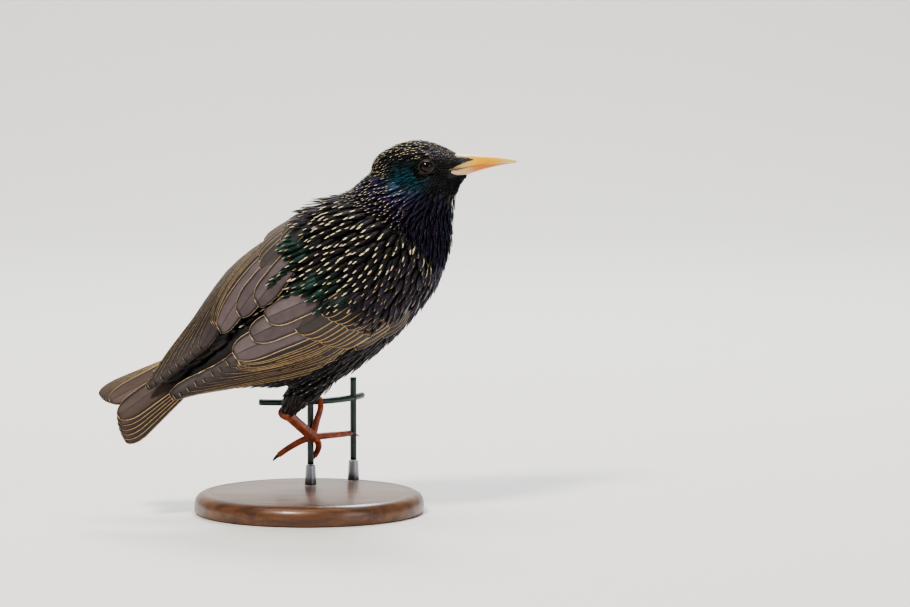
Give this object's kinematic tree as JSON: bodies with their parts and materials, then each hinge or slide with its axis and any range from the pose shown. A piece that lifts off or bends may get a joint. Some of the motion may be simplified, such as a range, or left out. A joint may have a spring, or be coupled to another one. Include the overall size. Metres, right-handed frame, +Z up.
{
  "type": "bird model",
  "caption": "Life-size starling gripping a short cut piece of wire mesh, head turned level, wings folded over the tail, on a plain round display base",
  "frame": {"origin": "centre of the underside of the round base", "axes": "+X the way the bill points, +Z up, +Y away from the side that the picture shows"},
  "size_m": [0.1805, 0.101, 0.1634],
  "materials": {
    "plumage": "black feathers with a green and purple gloss and buff spots",
    "wing_feathers": "grey-brown feathers with pale buff fringes",
    "tail_feathers": "brown feathers with pale buff fringes",
    "bill": "smooth yellow horn, paler at the root",
    "eye": "wet dark brown",
    "leg_scales": "brick-red scaled skin",
    "claw": "dark brown horn",
    "coated_wire": "dark green coated wire",
    "rod_steel": "satin",
    "base_wood": "satin lacquer"
  },
  "bodies": {
    "root": {"torso": "plumage", "neck": "plumage", "head": "plumage", "tail": "tail_feathers", "wing_right": "wing_feathers", "wing_left": "wing_feathers", "bill_upper": "bill", "bill_lower": "bill", "eye_right": "eye", "eye_left": "eye", "thigh_right": "plumage", "thigh_left": "plumage", "tarsus_right": "leg_scales", "tarsus_left": "leg_scales", "foot_right": "leg_scales", "foot_left": "leg_scales", "claw_right_1": "claw", "claw_right_2": "claw", "claw_right_3": "claw", "claw_right_4": "claw", "claw_left_1": "claw", "claw_left_2": "claw", "claw_left_3": "claw", "claw_left_4": "claw", "perch_wires": "coated_wire", "stand_rod_1": "rod_steel", "stand_rod_2": "rod_steel", "stand_base": "base_wood"}
  },
  "joints": []
}
